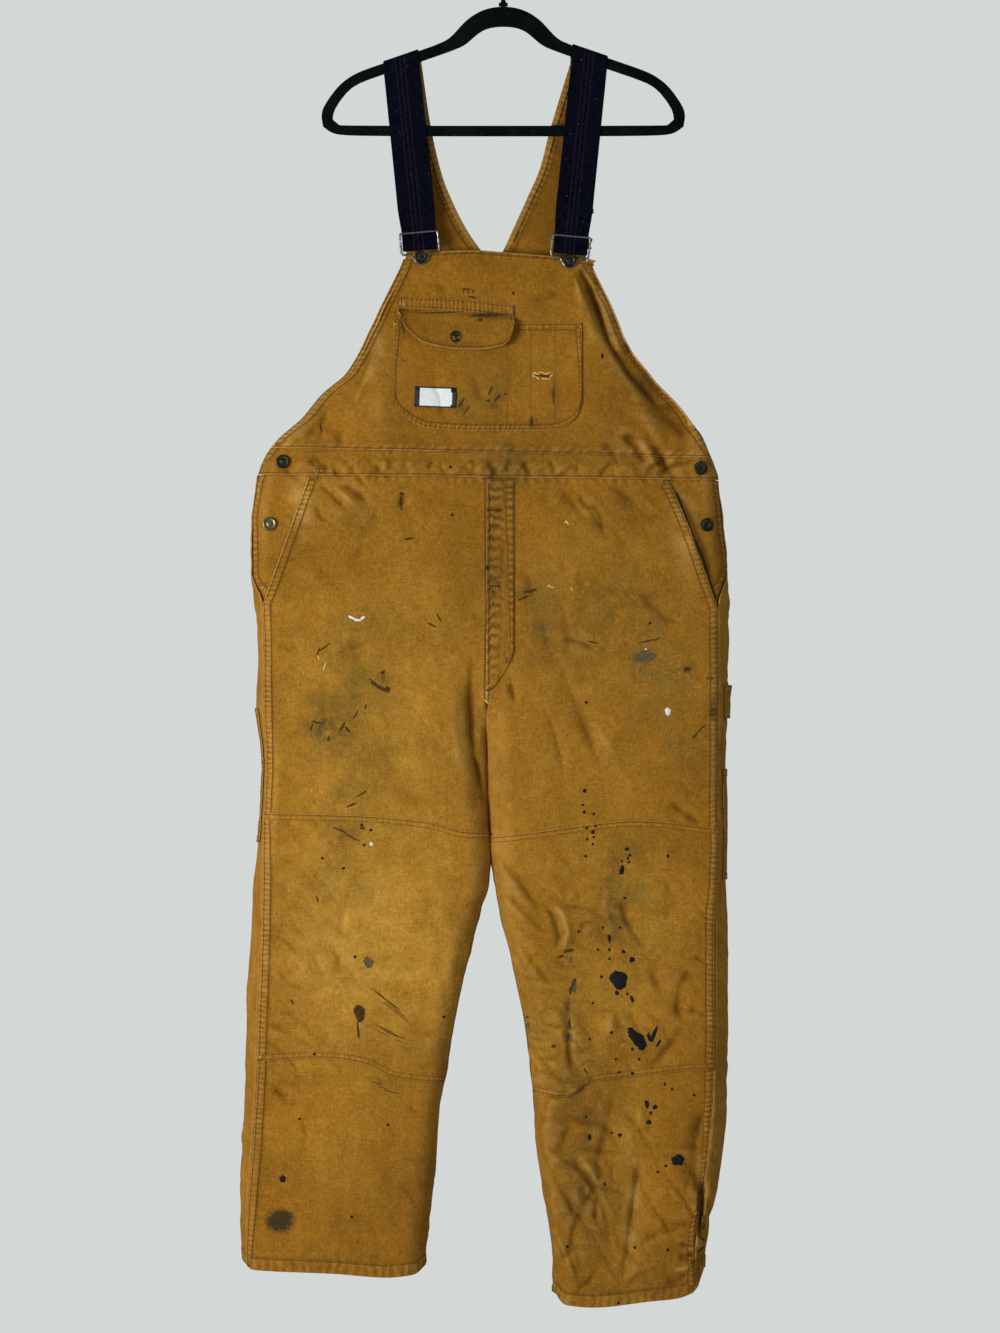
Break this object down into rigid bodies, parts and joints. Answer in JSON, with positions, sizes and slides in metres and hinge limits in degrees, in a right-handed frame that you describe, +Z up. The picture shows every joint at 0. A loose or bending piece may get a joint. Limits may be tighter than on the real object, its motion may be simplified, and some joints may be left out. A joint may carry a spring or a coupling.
{
  "type": "bib overalls on a clothes hanger",
  "caption": "Worn, paint-spattered canvas bib overalls with doubled knees, hung flat by their straps on a slim black hanger with a wire hook.",
  "frame": {"origin": "inside top of the hanger's hook, where the rail carries it, in the hanger's middle plane", "axes": "+Z up, -Y out of the garment's front, +X to the right as seen from the front"},
  "size_m": [0.5977, 0.0773, 1.6574],
  "materials": {
    "duck_canvas": "worn brown cotton duck, matte, rubbed pale on its edges",
    "label_cloth": "woven label, bare white with a black border",
    "elastic_webbing": "black ribbed elastic with purple stripes",
    "nickel_wire": "dull nickel plate",
    "dark_button": "blackened brass",
    "aged_button": "aged nickel over brass",
    "flocked_plastic": "black flock",
    "chromed_wire": "bright plated wire"
  },
  "bodies": {
    "root": {"back_bib": "duck_canvas", "back_leg_left_knee": "duck_canvas", "back_leg_left_lower": "duck_canvas", "back_leg_left_upper": "duck_canvas", "back_leg_right_knee": "duck_canvas", "back_leg_right_lower": "duck_canvas", "back_leg_right_upper": "duck_canvas", "bib_button_left": "dark_button", "bib_button_right": "dark_button", "bib_front": "duck_canvas", "bib_pocket": "duck_canvas", "buckle_bar_left": "nickel_wire", "buckle_bar_right": "nickel_wire", "buckle_left": "nickel_wire", "buckle_right": "nickel_wire", "flap_button": "dark_button", "fly_placket": "duck_canvas", "front_leg_left_knee": "duck_canvas", "front_leg_left_lower": "duck_canvas", "front_leg_left_upper": "duck_canvas", "front_leg_right_knee": "duck_canvas", "front_leg_right_lower": "duck_canvas", "front_leg_right_upper": "duck_canvas", "hammer_loop": "duck_canvas", "hanger_frame": "flocked_plastic", "hanger_hook": "chromed_wire", "hanger_neck": "flocked_plastic", "hip_piece_left": "duck_canvas", "hip_piece_right": "duck_canvas", "knee_patch_left": "duck_canvas", "knee_patch_right": "duck_canvas", "pocket_flap": "duck_canvas", "pocket_label": "label_cloth", "pocket_welt": "duck_canvas", "side_button_left_lower": "aged_button", "side_button_left_upper": "aged_button", "side_button_right_lower": "aged_button", "side_button_right_upper": "aged_button", "strap_left": "elastic_webbing", "strap_right": "elastic_webbing", "tool_pocket": "duck_canvas", "utility_pocket": "duck_canvas", "waistband_front": "duck_canvas"}
  },
  "joints": []
}
